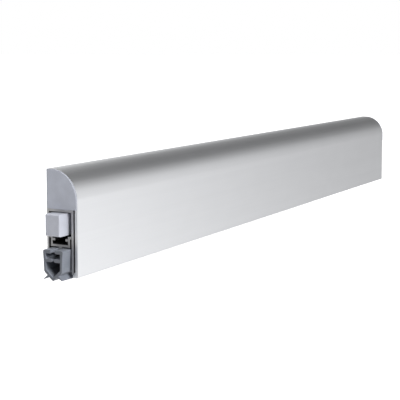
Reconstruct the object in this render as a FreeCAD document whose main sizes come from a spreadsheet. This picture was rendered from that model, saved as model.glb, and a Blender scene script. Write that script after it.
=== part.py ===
import FreeCAD, Part
import math
import os
from types import SimpleNamespace

import Sketcher

# Surface-mounted automatic door bottom seal, in millimetres.
# X runs along the door, with the trigger end at -X and the lock end at +X.
# Y = 0 is the door's face and the seal stands out from it towards -Y.
# Z = 0 is the lower edge of the housing. "Depth" is a distance from the door's face.
# Pushing the plunger shortens two bowed leaf springs, which press the drop bar down.

SIZES = [
    ("seal_length", 420.0, "length of the housing, the cover and the drop bar"),
    # housing
    ("housing_width", 15.0, "depth of the housing from the door's face"),
    ("housing_side_wall", 1.1, "side walls of the housing"),
    ("housing_top_wall", 1.3, "top wall of the housing"),
    ("flange_wall", 1.2, "upright flange that is screwed to the door"),
    ("flange_bead", 0.6, "how far the bead on the flange stands forward"),
    ("flange_bead_height", 1.2, "height of that bead"),
    ("flange_top_gap", 0.55, "from the flange up to the cover's top wall"),
    ("slot_width", 4.5, "width of a screw slot"),
    ("slot_length", 10.0, "length of a screw slot"),
    ("slot_rise", 8.0, "height of the slots' middle over the housing's top wall"),
    ("slot_end_distance", 30.0, "from each end of the housing to the middle of its outer slot"),
    ("slot_inner_spacing", 120.0, "distance between the two inner slots"),
    # cover
    ("cover_wall", 1.35, "wall of the cover"),
    ("cover_gap", 0.9, "between the housing and the cover's front"),
    ("cover_room", 18.5, "height of the cover over the housing"),
    ("cover_overhang", 1.5, "how far the cover hangs below the housing"),
    ("cover_lip_reach", 1.45, "reach of the cover's bottom lip under the housing"),
    ("cover_rib_height", 2.5, "top of the rib behind the cover's foot"),
    ("cover_rib_gap", 0.2, "between that rib and the housing"),
    ("hook_wall", 1.1, "rib that hangs from the cover's top wall"),
    ("hook_bead_height", 0.9, "height of the bead on that rib"),
    ("snap_clearance", 0.3, "play between the cover's hook and the flange"),
    # end caps
    ("cap_plate", 1.0, "plate of an end cap"),
    ("cap_edge", 0.5, "bevelled edge of that plate"),
    ("cap_spigot_depth", 8.0, "how far an end cap goes into the cover"),
    ("cap_spigot_wall", 1.4, "wall of the part that goes in"),
    ("cap_fit", 0.2, "play between an end cap and the cover"),
    # gasket
    ("gasket_overhang", 5.9, "how far the gasket stands out past each end"),
    ("gasket_side_gap", 0.75, "between the gasket and the housing's walls"),
    ("gasket_tip_depth", 2.55, "how far the gasket hangs below the housing at rest"),
    ("gasket_height", 14.25, "from the gasket's sole to its top"),
    ("gasket_taper", 0.65, "how much narrower each side is at its foot"),
    ("gasket_corner_radius", 0.8, "rounded top edges"),
    ("gasket_top_wall", 1.6, "flanges over the upper chamber"),
    ("gasket_slot", 2.4, "slot between those flanges"),
    ("gasket_wall", 1.65, "side walls at the chambers"),
    ("gasket_groove", 2.5, "height of the upper chamber"),
    ("gasket_lip", 1.5, "lips between the two chambers"),
    ("gasket_lip_gap", 1.2, "gap between those lips"),
    ("gasket_vee", 4.05, "height of the pointed sole"),
    ("gasket_floor", 1.55, "rubber under the lower chamber, measured upright"),
    ("gasket_shoulder", 1.0, "from the sole's outer corner up to its inner one"),
    ("sole_flat", 0.9, "width of the sole's rounded tip"),
    ("fin_root", 2.3, "where a side fin starts, from the middle"),
    ("fin_base", 0.8, "thickness of a fin at its root, measured level"),
    ("fin_edge", 0.3, "thickness of a fin at its edge, measured level"),
    ("fin_reach", 0.4, "how far a fin reaches out past the side wall's foot"),
    # drop bar
    ("bar_side_gap", 1.0, "between the drop bar and the housing's walls"),
    ("bar_rib_clearance", 0.15, "between the drop bar's guide ribs and those walls"),
    ("bar_rib", 1.1, "height of the guide ribs"),
    ("bar_wall", 1.1, "side walls of the drop bar"),
    ("bar_web", 1.2, "floor of the drop bar"),
    ("bar_groove", 1.6, "height of the groove under the lips"),
    ("bar_lip", 1.2, "thickness of the lips"),
    ("bar_lip_reach", 1.4, "how far the lips reach inward"),
    ("bar_stem", 2.0, "stem that carries the gasket"),
    ("bar_foot", 1.2, "thickness of the stem's foot"),
    ("bar_foot_width", 6.6, "width of the stem's foot"),
    ("bar_gasket_gap", 0.6, "between the drop bar's floor and the gasket"),
    # plunger, stud and rod
    ("mechanism_room", 11.3, "from the drop bar at rest up to the housing's top wall"),
    ("plunger_width", 8.2, "width of the plunger"),
    ("plunger_top_gap", 0.4, "from the plunger up to the housing's top wall"),
    ("plunger_bottom_gap", 0.7, "from the plunger down to the drop bar"),
    ("plunger_reach", 6.1, "how far the plunger stands out at rest"),
    ("plunger_length", 20.0, "length of the plunger"),
    ("plunger_edge_radius", 0.6, "rounded edges of the plunger's end face"),
    ("trigger_travel", 5.5, "how far the plunger can be pushed in"),
    ("plunger_stop_gap", 2.6, "from the pushed plunger to its guide"),
    ("stud_diameter", 4.0, "adjusting stud"),
    ("stud_in_plunger", 12.0, "length of the stud inside the plunger"),
    ("stud_in_head", 10.0, "length of the stud inside the rod head"),
    ("nut_width", 7.0, "lock nut across its flats"),
    ("nut_height", 3.2, "thickness of the lock nut"),
    ("nut_distance", 9.0, "from the plunger's guide to the lock nut"),
    ("head_length", 22.0, "length of the rod head"),
    ("head_width", 8.0, "width of the rod head"),
    ("head_below_axis", 3.8, "rod head below the stud's middle"),
    ("head_seat", 11.0, "length of the rod's seat in the rod head"),
    ("rod_width", 5.0, "width of the flat push rod"),
    ("rod_thickness", 2.0, "thickness of the push rod"),
    ("rod_top_gap", 1.4, "from the rod up to the housing's top wall"),
    # guides
    ("guide_length", 10.0, "length of each plastic guide"),
    ("guide_side_gap", 0.2, "between a guide and the housing's walls"),
    ("guide_clearance", 0.3, "play of the stud and the rod in their guides"),
    ("guide_floor", 1.6, "plastic below the stud or the rod"),
    # springs and their anchors
    ("leaf_width", 7.4, "width of a leaf spring"),
    ("leaf_thickness", 0.5, "thickness of a leaf spring"),
    ("head_anchor_gap", 1.8, "from the rod head to the first sliding anchor"),
    ("units_gap", 88.0, "from the fixed eye of unit a to the sliding eye of unit b"),
    ("lock_end_gap", 20.0, "from the lock end to the last eye"),
    ("eye_clearance", 0.05, "play round a pin in its eye"),
    ("eye_gap", 0.2, "from an eye up to the sheet over it"),
    ("pin_diameter", 1.6, "pins through the eyes"),
    ("anchor_width", 10.0, "width of an anchor"),
    ("anchor_sheet", 1.0, "sheet that the anchors are folded from"),
    ("anchor_length", 14.0, "length of an anchor"),
    ("anchor_setback", 4.0, "from an anchor's open end to its pin"),
    ("anchor_leg", 1.85, "how far an anchor's legs go below its pin"),
    ("anchor_slope", 6.0, "length of the sloping corner of those legs"),
    # shoes
    ("shoe_length", 14.0, "length of a shoe"),
    ("shoe_play", 0.1, "play of a shoe under the drop bar's lips"),
    ("shoe_side_gap", 0.2, "play of a shoe beside the lips"),
    ("shoe_platform", 1.0, "plate of a shoe under the leaf spring"),
    ("shoe_platform_width", 8.0, "width of that plate"),
    # rivets
    ("rivet_diameter", 2.0, "shank of the rivets"),
    ("rivet_head_diameter", 3.2, "head of the rivets"),
    ("rivet_crown_diameter", 2.0, "flat top of a rivet's head"),
    ("rivet_head", 0.7, "height of a rivet's head"),
    ("rivet_margin", 4.0, "from the closed end of an anchor or the rod head to its rivet"),
    ("shoe_rivet_grip", 1.8, "how deep a shoe's rivet goes into the shoe"),
    ("shoe_rivet_play", 0.03, "from the leaf spring up to the head of that rivet"),
]

# How round the gasket's edges are: the radius of an edge over the width of its tip
SOLE_ROUNDNESS = 0.66
LIP_ROUNDNESS = 0.55

document = FreeCAD.newDocument("door_bottom_seal")
nodes = []


class Size:
    """A size as the sheet's expression for it, with its present value."""

    def __init__(self, text, value):
        self.text = text
        self.value = value

    def __add__(self, other):
        other = as_size(other)
        return Size(f"({self.text} + {other.text})", self.value + other.value)

    def __sub__(self, other):
        other = as_size(other)
        return Size(f"({self.text} - {other.text})", self.value - other.value)

    def __mul__(self, other):
        other = as_size(other)
        return Size(f"({self.text} * {other.text})", self.value * other.value)

    def __truediv__(self, other):
        other = as_size(other)
        return Size(f"({self.text} / {other.text})", self.value / other.value)

    def __rsub__(self, other):
        return as_size(other) - self

    def __rmul__(self, other):
        return as_size(other) * self

    def __neg__(self):
        return Size(f"(0 - {self.text})", -self.value)

    def root(self):
        return Size(f"sqrt({self.text})", math.sqrt(self.value))


def as_size(number):
    if isinstance(number, Size):
        return number
    return Size(str(float(number)), float(number))


class Arc:
    """A round stretch of an outline. It turns left (+1) or right (-1) as it is drawn."""

    def __init__(self, radius, turn):
        self.radius = as_size(radius)
        self.turn = turn


def fill_sheet():
    sheet = document.addObject("Spreadsheet::Sheet", "Sizes")
    for row, (name, value, meaning) in enumerate(SIZES, start=1):
        sheet.set(f"A{row}", name)
        sheet.set(f"B{row}", str(value))
        sheet.set(f"C{row}", meaning)
        sheet.setAlias(f"B{row}", name)
    document.recompute()


fill_sheet()
size = SimpleNamespace(**{name: Size(f"Sizes.{name}", value) for name, value, _ in SIZES})

# Heights, from the gasket's sole up to the cover's top
sole_z = -size.gasket_tip_depth
vee_z = sole_z + size.gasket_vee
gasket_top_z = sole_z + size.gasket_height
groove_top_z = gasket_top_z - size.gasket_top_wall
groove_floor_z = groove_top_z - size.gasket_groove
lip_bottom_z = groove_floor_z - size.gasket_lip
bar_floor_z = gasket_top_z + size.bar_gasket_gap
bar_web_z = bar_floor_z + size.bar_web
bar_lip_z = bar_web_z + size.bar_groove
bar_rib_z = bar_lip_z + size.bar_lip
bar_top_z = bar_rib_z + size.bar_rib
room_top_z = bar_top_z + size.mechanism_room
housing_height = room_top_z + size.housing_top_wall
cover_top_z = housing_height + size.cover_room
cover_ceiling_z = cover_top_z - size.cover_wall
cover_foot_z = -size.cover_overhang
flange_top_z = cover_ceiling_z - size.flange_top_gap
bead_bottom_z = flange_top_z - size.flange_bead_height
slot_z = housing_height + size.slot_rise
rod_top_z = room_top_z - size.rod_top_gap
rod_bottom_z = rod_top_z - size.rod_thickness
plunger_top_z = room_top_z - size.plunger_top_gap
plunger_bottom_z = bar_top_z + size.plunger_bottom_gap
stud_z = (plunger_top_z + plunger_bottom_z) / 2

# Depths from the door's face
middle = size.housing_width / 2
inner_half = middle - size.housing_side_wall
cover_inside = size.housing_width + size.cover_gap
cover_depth = cover_inside + size.cover_wall
hook_back = size.flange_wall + size.flange_bead + size.snap_clearance
cover_flat = hook_back + size.hook_wall
cover_radius = cover_depth - cover_flat
cover_inner_radius = cover_inside - cover_flat
shoulder_z = cover_top_z - cover_radius

# Places along the door
half_length = size.seal_length / 2
plunger_inner_x = size.plunger_length - size.plunger_reach - half_length
guide_x = plunger_inner_x + size.trigger_travel + size.plunger_stop_gap
nut_x = guide_x + size.guide_length + size.nut_distance
head_x = nut_x + size.nut_height
head_end_x = head_x + size.head_length
rod_x = head_end_x - size.head_seat

# Leaf springs: the eyes hang below the sliding anchors' sheet, the bow rests on the shoes
pin_radius = size.pin_diameter / 2
eye_bore = pin_radius + size.eye_clearance
eye_radius = eye_bore + size.leaf_thickness
slider_sheet_z = rod_bottom_z - size.anchor_sheet
eye_z = slider_sheet_z - size.eye_gap - eye_radius
platform_z = bar_top_z + size.shoe_play
leaf_low_z = platform_z + size.shoe_platform
leaf_bow = eye_z - leaf_low_z - size.leaf_thickness / 2
leaf_top_z = leaf_low_z + size.leaf_thickness

# Each unit is a leaf spring between a sliding eye and a fixed eye. The two units share the
# length that is left between the rod head and the lock end, with the rod guide between them.
first_eye_x = head_end_x + size.head_anchor_gap + size.anchor_length - size.anchor_setback
last_eye_x = half_length - size.lock_end_gap
leaf_span = (last_eye_x - first_eye_x - size.units_gap) / 2
unit_a = (first_eye_x, first_eye_x + leaf_span)
unit_b = (last_eye_x - leaf_span, last_eye_x)
units = {"a": unit_a, "b": unit_b}
rod_guide_x = (unit_a[1] + unit_b[0]) / 2
rod_end_x = unit_b[0] + size.anchor_setback


def new_body(label):
    body = document.addObject("PartDesign::Body", label)
    body.Label = label
    nodes.append(body)
    return body


def new_sketch(body, role, distance=None):
    """A sketch on one of the body's own planes, or at a distance from it."""
    sketch = body.newObject("Sketcher::SketchObject", f"{body.Label}_sketch")
    plane = next(part for part in body.Origin.OriginFeatures if part.Role == role)
    sketch.AttachmentSupport = [(plane, "")]
    sketch.MapMode = "FlatFace"
    if distance is not None:
        sketch.setExpression("AttachmentOffset.Base.z", as_size(distance).text)
    return sketch


def bind(sketch, limits):
    """Add constraints, given as (kind, references, size), and tie each to the sheet."""
    made = []
    for kind, references, amount in limits:
        if amount is None:
            made.append(Sketcher.Constraint(kind, *references))
        else:
            made.append(Sketcher.Constraint(kind, *references, amount.value))
    for index, limit in zip(sketch.addConstraint(made), limits):
        if limit[2] is not None:
            sketch.setExpression(f"Constraints[{index}]", limit[2].text)


def arc_edge(start, end, arc):
    """The short arc from start to end, and whether it is stored from start to end."""
    chord = end - start
    left = FreeCAD.Vector(-chord.y, chord.x, 0).normalize()
    rise = math.sqrt(arc.radius.value**2 - (chord.Length / 2) ** 2)
    centre = (start + end) / 2 + left * rise * arc.turn
    first, last = (start, end) if arc.turn > 0 else (end, start)
    angles = [math.atan2(point.y - centre.y, point.x - centre.x) for point in (first, last)]
    circle = Part.Circle(centre, FreeCAD.Vector(0, 0, 1), arc.radius.value)
    return Part.ArcOfCircle(circle, *angles), arc.turn > 0


def draw_outline(sketch, path):
    """Draw a closed outline of corners, with an Arc between two corners that it joins."""
    corners = [(as_size(item[0]), as_size(item[1])) for item in path if not isinstance(item, Arc)]
    arcs = {}
    for index, item in enumerate(path):
        if isinstance(item, Arc):
            arcs[sum(not isinstance(other, Arc) for other in path[:index]) - 1] = item
    points = [FreeCAD.Vector(across.value, up.value, 0) for across, up in corners]
    edges = []
    ends = []
    for index, start in enumerate(points):
        end = points[(index + 1) % len(points)]
        if index in arcs:
            edge, forward = arc_edge(start, end, arcs[index])
        else:
            edge, forward = Part.LineSegment(start, end), True
        edges.append(edge)
        ends.append((1, 2) if forward else (2, 1))
    shapes = sketch.addGeometry(edges, False)
    limits = []
    for index, shape in enumerate(shapes):
        following = (index + 1) % len(shapes)
        joint = (shape, ends[index][1], shapes[following], ends[following][0])
        limits.append(("Coincident", joint, None))
        limits.append(("DistanceX", (-1, 1, shape, ends[index][0]), corners[index][0]))
        limits.append(("DistanceY", (-1, 1, shape, ends[index][0]), corners[index][1]))
        if index in arcs:
            limits.append(("Radius", (shape,), arcs[index].radius))
    bind(sketch, limits)


def draw_circle(sketch, across, up, radius):
    across, up, radius = as_size(across), as_size(up), as_size(radius)
    centre = FreeCAD.Vector(across.value, up.value, 0)
    circle = Part.Circle(centre, FreeCAD.Vector(0, 0, 1), radius.value)
    shape = sketch.addGeometry(circle, False)
    limits = [
        ("DistanceX", (-1, 1, shape, 3), across),
        ("DistanceY", (-1, 1, shape, 3), up),
        ("Radius", (shape,), radius),
    ]
    bind(sketch, limits)


def end_view(path):
    """Turn an outline of depths and heights into one for a sketch that looks along X."""
    turned = []
    for item in path:
        turned.append(Arc(item.radius, -item.turn) if isinstance(item, Arc) else (-item[0], item[1]))
    return turned


def both_sides(half, between=()):
    """Mirror a half outline about the housing's middle, with any corners that go between."""
    near = [item if isinstance(item, Arc) else (middle + item[0], item[1]) for item in half]
    far = [item if isinstance(item, Arc) else (middle - item[0], item[1]) for item in reversed(half)]
    return near + list(between) + far


def box_path(left, bottom, right, top):
    return [(left, bottom), (right, bottom), (right, top), (left, top)]


def slot_path(centre, height, length, width):
    """A slot with round ends, drawn as quarter arcs."""
    radius = width / 2
    reach = length / 2
    straight = reach - radius
    return [
        (centre - straight, height - radius),
        (centre + straight, height - radius),
        Arc(radius, 1),
        (centre + reach, height),
        Arc(radius, 1),
        (centre + straight, height + radius),
        (centre - straight, height + radius),
        Arc(radius, 1),
        (centre - reach, height),
        Arc(radius, 1),
    ]


def extrude(body, sketch, length, both_ways=False, backwards=False):
    pad = body.newObject("PartDesign::Pad", f"{body.Label}_pad")
    pad.Profile = sketch
    pad.SideType = "Symmetric" if both_ways else "One side"
    pad.Reversed = backwards
    pad.setExpression("Length", as_size(length).text)
    return pad


def cut(body, sketch, length=None, backwards=False):
    """Cut a sketch out of a body, through all of it where no length is given."""
    pocket = body.newObject("PartDesign::Pocket", f"{body.Label}_cut")
    pocket.Profile = sketch
    pocket.Reversed = backwards
    if length is None:
        pocket.SideType = "Symmetric"
        pocket.Type = "ThroughAll"
    else:
        pocket.setExpression("Length", as_size(length).text)
    return pocket


def finish_edges(body, kind, radius, is_chosen):
    """Round or bevel the chosen edges of a body, by a size of the sheet."""
    document.recompute()
    base = body.Tip
    edges = enumerate(base.Shape.Edges, start=1)
    names = [f"Edge{number}" for number, edge in edges if is_chosen(edge)]
    edging = body.newObject(f"PartDesign::{kind}", f"{body.Label}_edge")
    edging.Base = (base, names)
    edging.setExpression("Radius" if kind == "Fillet" else "Size", radius.text)


def lies_at_x(place):
    """A test for edges that lie wholly in the plane at this place along X."""
    return lambda edge: all(abs(vertex.X - place.value) < 0.001 for vertex in edge.Vertexes)


AXES = {
    "along": (FreeCAD.Rotation(FreeCAD.Vector(0, 1, 0), 90), "x"),
    "across": (FreeCAD.Rotation(FreeCAD.Vector(1, 0, 0), 90), "y"),
    "up": (FreeCAD.Rotation(), "z"),
}


def turned_piece(name, axis, place, steps):
    """One turned piece: round steps of (start, length, radius, end radius) along an axis.

    Across runs out from the door's face, so there a start counts towards -Y.
    """
    rotation, letter = AXES[axis]
    sign = -1 if axis == "across" else 1
    made = []
    for start, length, radius, end_radius in steps:
        kind = "Part::Cylinder" if radius is end_radius else "Part::Cone"
        step = document.addObject(kind, f"{name}_step")
        step.Placement.Rotation = rotation
        for coordinate, amount in zip("xyz", place):
            amount = as_size(amount)
            if coordinate == letter:
                amount = amount + as_size(start) * sign
            step.setExpression(f"Placement.Base.{coordinate}", amount.text)
        step.setExpression("Height", as_size(length).text)
        if kind == "Part::Cylinder":
            step.setExpression("Radius", radius.text)
        else:
            step.setExpression("Radius1", radius.text)
            step.setExpression("Radius2", end_radius.text)
        made.append(step)
    if len(made) == 1:
        return made[0]
    piece = document.addObject("Part::MultiFuse", name)
    piece.Shapes = made
    return piece


def group_pieces(label, pieces):
    """Like pieces that share one node, each a solid of its own."""
    group = document.addObject("Part::Compound", label)
    group.Label = label
    group.Links = pieces
    nodes.append(group)


def rivet(name, place, grip):
    """An upright rivet: its flush end at the place, its domed head on top of the grip."""
    shank_radius = size.rivet_diameter / 2
    head_radius = size.rivet_head_diameter / 2
    steps = [
        (0, grip, shank_radius, shank_radius),
        (grip, size.rivet_head, head_radius, size.rivet_crown_diameter / 2),
    ]
    return turned_piece(name, "up", place, steps)


# Rivets along the seal, one for each anchor, each guide and the rod head, as places on X
closed_reach = size.anchor_length - size.anchor_setback - size.rivet_margin
fixed_rivets = {key: unit[1] + closed_reach for key, unit in units.items()}
slider_rivets = {key: unit[0] - closed_reach for key, unit in units.items()}
head_rivet = head_end_x - size.rivet_margin
guide_middles = [guide_x + size.guide_length / 2, rod_guide_x]
web_rivets = list(fixed_rivets.values()) + guide_middles
rod_rivets = list(slider_rivets.values()) + [head_rivet]
rivet_radius = size.rivet_diameter / 2


def build_housing():
    body = new_body("housing_channel")
    inside_back = size.housing_side_wall
    inside_front = size.housing_width - size.housing_side_wall
    bead_depth = size.flange_wall + size.flange_bead
    path = [
        (0, 0),
        (inside_back, 0),
        (inside_back, room_top_z),
        (inside_front, room_top_z),
        (inside_front, 0),
        (size.housing_width, 0),
        (size.housing_width, housing_height),
        (size.flange_wall, housing_height),
        (size.flange_wall, bead_bottom_z),
        (bead_depth, bead_bottom_z + size.flange_bead / 2),
        (bead_depth, flange_top_z - size.flange_bead / 2),
        (size.flange_wall, flange_top_z),
        (0, flange_top_z),
    ]
    profile = new_sketch(body, "YZ_Plane")
    draw_outline(profile, end_view(path))
    extrude(body, profile, size.seal_length, both_ways=True)
    slots = new_sketch(body, "XZ_Plane")
    for reach in (half_length - size.slot_end_distance, size.slot_inner_spacing / 2):
        for side in (-1, 1):
            centre = reach * side
            draw_outline(slots, slot_path(centre, slot_z, size.slot_length, size.slot_width))
    cut(body, slots, size.flange_wall, backwards=True)
    holes = new_sketch(body, "XY_Plane", room_top_z)
    for x in web_rivets:
        draw_circle(holes, x, -middle, rivet_radius)
    cut(body, holes, size.housing_top_wall, backwards=True)


def build_cover():
    body = new_body("cover_profile")
    lip_end = cover_inside - size.cover_lip_reach
    lip_top_z = cover_foot_z + size.cover_wall
    rib_top_z = cover_foot_z + size.cover_rib_height
    rib_back = size.housing_width + size.cover_rib_gap
    hook_bead_back = size.flange_wall + size.snap_clearance
    hook_bead_top_z = bead_bottom_z - size.snap_clearance
    hook_bottom_z = hook_bead_top_z - size.hook_bead_height
    path = [
        (lip_end, cover_foot_z),
        (cover_depth, cover_foot_z),
        (cover_depth, shoulder_z),
        Arc(cover_radius, 1),
        (cover_flat, cover_top_z),
        (0, cover_top_z),
        (0, cover_ceiling_z),
        (hook_back, cover_ceiling_z),
        (hook_back, hook_bead_top_z),
        (hook_bead_back, hook_bead_top_z),
        (hook_back, hook_bottom_z),
        (cover_flat, hook_bottom_z),
        (cover_flat, cover_ceiling_z),
        Arc(cover_inner_radius, -1),
        (cover_inside, shoulder_z),
        (cover_inside, rib_top_z),
        (rib_back, rib_top_z),
        (rib_back, lip_top_z),
        (lip_end, lip_top_z),
    ]
    profile = new_sketch(body, "YZ_Plane")
    draw_outline(profile, end_view(path))
    extrude(body, profile, size.seal_length, both_ways=True)


def build_end_cap(label, side):
    """An end cap: side is -1 at the trigger end and +1 at the lock end."""
    body = new_body(label)
    cover_end_x = half_length * side
    outer_x = (half_length + size.cap_plate) * side
    plate_path = [
        (0, housing_height),
        (cover_depth, housing_height),
        (cover_depth, shoulder_z),
        Arc(cover_radius, 1),
        (cover_flat, cover_top_z),
        (0, cover_top_z),
    ]
    plate = new_sketch(body, "YZ_Plane", cover_end_x)
    draw_outline(plate, end_view(plate_path))
    extrude(body, plate, size.cap_plate, backwards=side < 0)
    spigot = new_sketch(body, "YZ_Plane", cover_end_x)
    for inset in (size.cap_fit, size.cap_fit + size.cap_spigot_wall):
        radius = cover_inner_radius - inset
        back = cover_flat + inset
        back_top_z = shoulder_z + (radius * radius - inset * inset).root()
        spigot_path = [
            (back, housing_height + inset),
            (cover_inside - inset, housing_height + inset),
            (cover_inside - inset, shoulder_z),
            Arc(radius, 1),
            (back, back_top_z),
        ]
        draw_outline(spigot, end_view(spigot_path))
    extrude(body, spigot, size.cap_spigot_depth, backwards=side > 0)
    finish_edges(body, "Chamfer", size.cap_edge, lies_at_x(outer_x))


def build_drop_bar():
    body = new_body("drop_bar")
    bar_half = inner_half - size.bar_side_gap
    rib_half = inner_half - size.bar_rib_clearance
    groove_half = bar_half - size.bar_wall
    foot_top_z = groove_top_z
    half = [
        (size.bar_foot_width / 2, foot_top_z - size.bar_foot),
        (size.bar_foot_width / 2, foot_top_z),
        (size.bar_stem / 2, foot_top_z),
        (size.bar_stem / 2, bar_floor_z),
        (bar_half, bar_floor_z),
        (bar_half, bar_rib_z),
        (rib_half, bar_rib_z),
        (rib_half, bar_top_z),
        (groove_half, bar_top_z),
        (groove_half, bar_rib_z),
        (groove_half - size.bar_lip_reach, bar_rib_z),
        (groove_half - size.bar_lip_reach, bar_lip_z),
        (groove_half, bar_lip_z),
        (groove_half, bar_web_z),
    ]
    profile = new_sketch(body, "YZ_Plane")
    draw_outline(profile, end_view(both_sides(half)))
    extrude(body, profile, size.seal_length, both_ways=True)


def build_gasket():
    body = new_body("gasket")
    top_half = inner_half - size.gasket_side_gap
    foot_half = top_half - size.gasket_taper
    chamber_half = top_half - size.gasket_wall
    corner = size.gasket_corner_radius
    lip_radius = size.gasket_lip * LIP_ROUNDNESS
    lip_bulge = lip_radius - (lip_radius * lip_radius - size.gasket_lip * size.gasket_lip / 4).root()
    lip_half = size.gasket_lip_gap / 2 + lip_bulge
    tip_half = size.sole_flat / 2
    sole_radius = size.sole_flat * SOLE_ROUNDNESS
    tip_z = sole_z + sole_radius - (sole_radius * sole_radius - tip_half * tip_half).root()
    slope = (vee_z - tip_z) / (foot_half - tip_half)
    fin_outer = size.fin_root + size.fin_base
    fin_tip = foot_half + size.fin_reach
    half = [
        (tip_half, tip_z),
        (size.fin_root, tip_z + slope * (size.fin_root - tip_half)),
        (fin_tip - size.fin_edge, tip_z),
        (fin_tip, tip_z + size.fin_edge),
        (fin_outer, tip_z + slope * (fin_outer - tip_half)),
        (foot_half, vee_z),
        (top_half, gasket_top_z - corner),
        Arc(corner, 1),
        (top_half - corner, gasket_top_z),
        (size.gasket_slot / 2, gasket_top_z),
        (size.gasket_slot / 2, groove_top_z),
        (chamber_half, groove_top_z),
        (chamber_half, groove_floor_z),
        (lip_half, groove_floor_z),
        Arc(lip_radius, 1),
        (lip_half, lip_bottom_z),
        (chamber_half, lip_bottom_z),
        (chamber_half, vee_z + size.gasket_shoulder),
    ]
    path = both_sides(half, [(middle, sole_z + size.gasket_floor)]) + [Arc(sole_radius, 1)]
    profile = new_sketch(body, "YZ_Plane")
    draw_outline(profile, end_view(path))
    extrude(body, profile, size.seal_length + 2 * size.gasket_overhang, both_ways=True)


def build_plunger():
    body = new_body("plunger")
    outer_x = -half_length - size.plunger_reach
    half_width = size.plunger_width / 2
    face = new_sketch(body, "YZ_Plane", outer_x)
    path = box_path(middle - half_width, plunger_bottom_z, middle + half_width, plunger_top_z)
    draw_outline(face, end_view(path))
    extrude(body, face, size.plunger_length)
    bore = new_sketch(body, "YZ_Plane", plunger_inner_x)
    draw_circle(bore, -middle, stud_z, size.stud_diameter / 2)
    cut(body, bore, size.stud_in_plunger)
    finish_edges(body, "Fillet", size.plunger_edge_radius, lies_at_x(outer_x))


def build_stud():
    body = new_body("adjusting_stud")
    start_x = plunger_inner_x - size.stud_in_plunger
    face = new_sketch(body, "YZ_Plane", start_x)
    draw_circle(face, -middle, stud_z, size.stud_diameter / 2)
    extrude(body, face, head_x + size.stud_in_head - start_x)


def build_lock_nut():
    body = new_body("lock_nut")
    flat = size.nut_width / 2
    corner = size.nut_width / math.sqrt(3)
    face = new_sketch(body, "YZ_Plane", nut_x)
    path = [
        (middle - flat, stud_z - corner / 2),
        (middle, stud_z - corner),
        (middle + flat, stud_z - corner / 2),
        (middle + flat, stud_z + corner / 2),
        (middle, stud_z + corner),
        (middle - flat, stud_z + corner / 2),
    ]
    draw_outline(face, end_view(path))
    draw_circle(face, -middle, stud_z, size.stud_diameter / 2)
    extrude(body, face, size.nut_height)


def build_rod_head():
    body = new_body("rod_head")
    half_width = size.head_width / 2
    half_rod = size.rod_width / 2
    face = new_sketch(body, "YZ_Plane", head_x)
    path = box_path(middle - half_width, stud_z - size.head_below_axis, middle + half_width, rod_top_z)
    draw_outline(face, end_view(path))
    extrude(body, face, size.head_length)
    bore = new_sketch(body, "YZ_Plane", head_x)
    draw_circle(bore, -middle, stud_z, size.stud_diameter / 2)
    cut(body, bore, size.stud_in_head, backwards=True)
    seat = new_sketch(body, "YZ_Plane", head_end_x)
    path = box_path(middle - half_rod, rod_bottom_z, middle + half_rod, room_top_z)
    draw_outline(seat, end_view(path))
    cut(body, seat, size.head_seat)
    holes = new_sketch(body, "XY_Plane")
    draw_circle(holes, head_rivet, -middle, rivet_radius)
    cut(body, holes)


def build_push_rod():
    body = new_body("push_rod")
    half_width = size.rod_width / 2
    face = new_sketch(body, "YZ_Plane", rod_x)
    path = box_path(middle - half_width, rod_bottom_z, middle + half_width, rod_top_z)
    draw_outline(face, end_view(path))
    extrude(body, face, rod_end_x - rod_x)
    holes = new_sketch(body, "XY_Plane")
    for x in rod_rivets:
        draw_circle(holes, x, -middle, rivet_radius)
    cut(body, holes)


def build_guide(label, start_x, bottom_z, opening):
    """A plastic block under the housing's top wall, with an opening drawn by a function."""
    body = new_body(label)
    half_width = inner_half - size.guide_side_gap
    face = new_sketch(body, "YZ_Plane", start_x)
    block = box_path(middle - half_width, bottom_z, middle + half_width, room_top_z)
    draw_outline(face, end_view(block))
    opening(face)
    extrude(body, face, size.guide_length)
    hole = new_sketch(body, "XY_Plane", room_top_z)
    draw_circle(hole, start_x + size.guide_length / 2, -middle, rivet_radius)
    cut(body, hole, size.anchor_sheet)


def draw_stud_opening(face):
    draw_circle(face, -middle, stud_z, size.stud_diameter / 2 + size.guide_clearance)


def draw_rod_opening(face):
    half_width = size.rod_width / 2 + size.guide_clearance
    bottom_z = rod_bottom_z - size.guide_clearance
    top_z = rod_top_z + size.guide_clearance
    draw_outline(face, end_view(box_path(middle - half_width, bottom_z, middle + half_width, top_z)))


def build_anchor(label, unit_x, sheet_z, closed_side, rivet_x):
    """A folded anchor: its sheet on top, two legs with a pin hole, open towards the leaf spring."""
    body = new_body(label)
    open_x = unit_x - size.anchor_setback * closed_side
    closed_x = open_x + size.anchor_length * closed_side
    outer = size.anchor_width / 2
    inner = outer - size.anchor_sheet
    leg_z = eye_z - size.anchor_leg
    top_z = sheet_z + size.anchor_sheet
    fold = [
        (inner, sheet_z),
        (inner, leg_z),
        (outer, leg_z),
        (outer, top_z),
    ]
    face = new_sketch(body, "YZ_Plane", open_x)
    draw_outline(face, end_view(both_sides(fold)))
    extrude(body, face, size.anchor_length, backwards=closed_side < 0)
    pin_hole = new_sketch(body, "XZ_Plane")
    draw_circle(pin_hole, unit_x, eye_z, pin_radius)
    cut(body, pin_hole)
    slope = new_sketch(body, "XZ_Plane")
    slope_path = [
        (closed_x - size.anchor_slope * closed_side, leg_z),
        (closed_x, leg_z),
        (closed_x, sheet_z),
    ]
    draw_outline(slope, slope_path)
    cut(body, slope)
    hole = new_sketch(body, "XY_Plane")
    draw_circle(hole, rivet_x, -middle, rivet_radius)
    cut(body, hole)


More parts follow.
